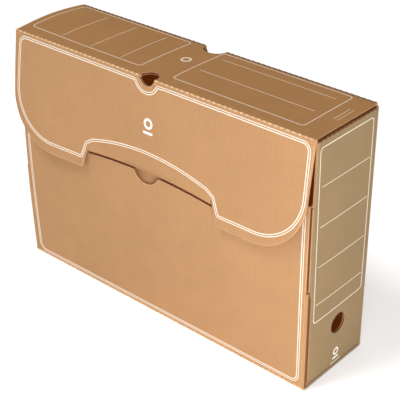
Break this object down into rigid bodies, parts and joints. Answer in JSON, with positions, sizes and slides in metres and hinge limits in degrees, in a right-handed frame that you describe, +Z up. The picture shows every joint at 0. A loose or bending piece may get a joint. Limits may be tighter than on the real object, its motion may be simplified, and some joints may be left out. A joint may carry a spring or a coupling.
{
  "type": "archival box",
  "caption": "Kraft corrugated document box folded from one blank, with a hinged lid, a tuck-in closing flap with tongue and slit, finger holes and interlocked corners.",
  "frame": {"origin": "bottom centre of the closed box's bounding box, flap included", "axes": "+X along the length towards the visible labelled end, -Y out of the closing flap, +Z up"},
  "size_m": [0.39, 0.1098, 0.275],
  "materials": {
    "kraft_face": "matt kraft liner, warm tan",
    "kraft_lid": "matt kraft liner, darker from above",
    "kraft_end": "matt kraft liner, olive tan",
    "kraft_inner": "matt kraft liner inside the box",
    "kraft_crease": "scored and cracked kraft liner",
    "white_print": "flat white flexographic ink"
  },
  "bodies": {
    "case": {"back_wall": "kraft_face", "bottom_panel": "kraft_face", "front_wall": "kraft_face", "right_end_panel": "kraft_end", "left_end_panel": "kraft_end", "right_lock_tab": "kraft_inner", "left_lock_tab": "kraft_inner", "right_corner_flange": "kraft_inner", "left_corner_flange": "kraft_inner", "right_base_flap": "kraft_inner", "left_base_flap": "kraft_inner", "rear_lid_crease": "kraft_crease", "right_dust_crease": "kraft_crease", "left_dust_crease": "kraft_crease", "front_bottom_crease": "kraft_crease", "back_bottom_crease": "kraft_crease", "right_back_crease": "kraft_crease", "left_back_crease": "kraft_crease", "right_tab_crease": "kraft_crease", "left_tab_crease": "kraft_crease", "right_flange_crease": "kraft_crease", "left_flange_crease": "kraft_crease", "right_base_crease": "kraft_crease", "left_base_crease": "kraft_crease"},
    "lid": {"lid_panel": "kraft_lid", "front_lid_crease": "kraft_crease"},
    "flap": {"closure_flap": "kraft_face", "closure_tongue": "kraft_face"},
    "right_dust": {"right_dust_flap": "kraft_inner"},
    "left_dust": {"left_dust_flap": "kraft_inner"}
  },
  "joints": [
    {"name": "lid_hinge", "type": "hinge", "parent": "case", "child": "lid", "pos_m": [0, 0.05343, 0.2735], "axis": [-1, 0, 0], "range_deg": [0, 180], "deforming": ["closure_tongue"]},
    {"name": "flap_hinge", "type": "hinge", "parent": "lid", "child": "flap", "pos_m": [0, -0.04158, 0.2735], "axis": [-1, 0, 0], "range_deg": [0, 170], "deforming": ["closure_tongue"]},
    {"name": "right_dust_hinge", "type": "hinge", "parent": "case", "child": "right_dust", "pos_m": [0.192, 0.00592, 0.2686], "axis": [0, -1, 0], "range_deg": [0, 85], "deforming": ["right_dust_crease"]},
    {"name": "left_dust_hinge", "type": "hinge", "parent": "case", "child": "left_dust", "pos_m": [-0.192, 0.00592, 0.2686], "axis": [0, 1, 0], "range_deg": [0, 85], "deforming": ["left_dust_crease"]}
  ]
}
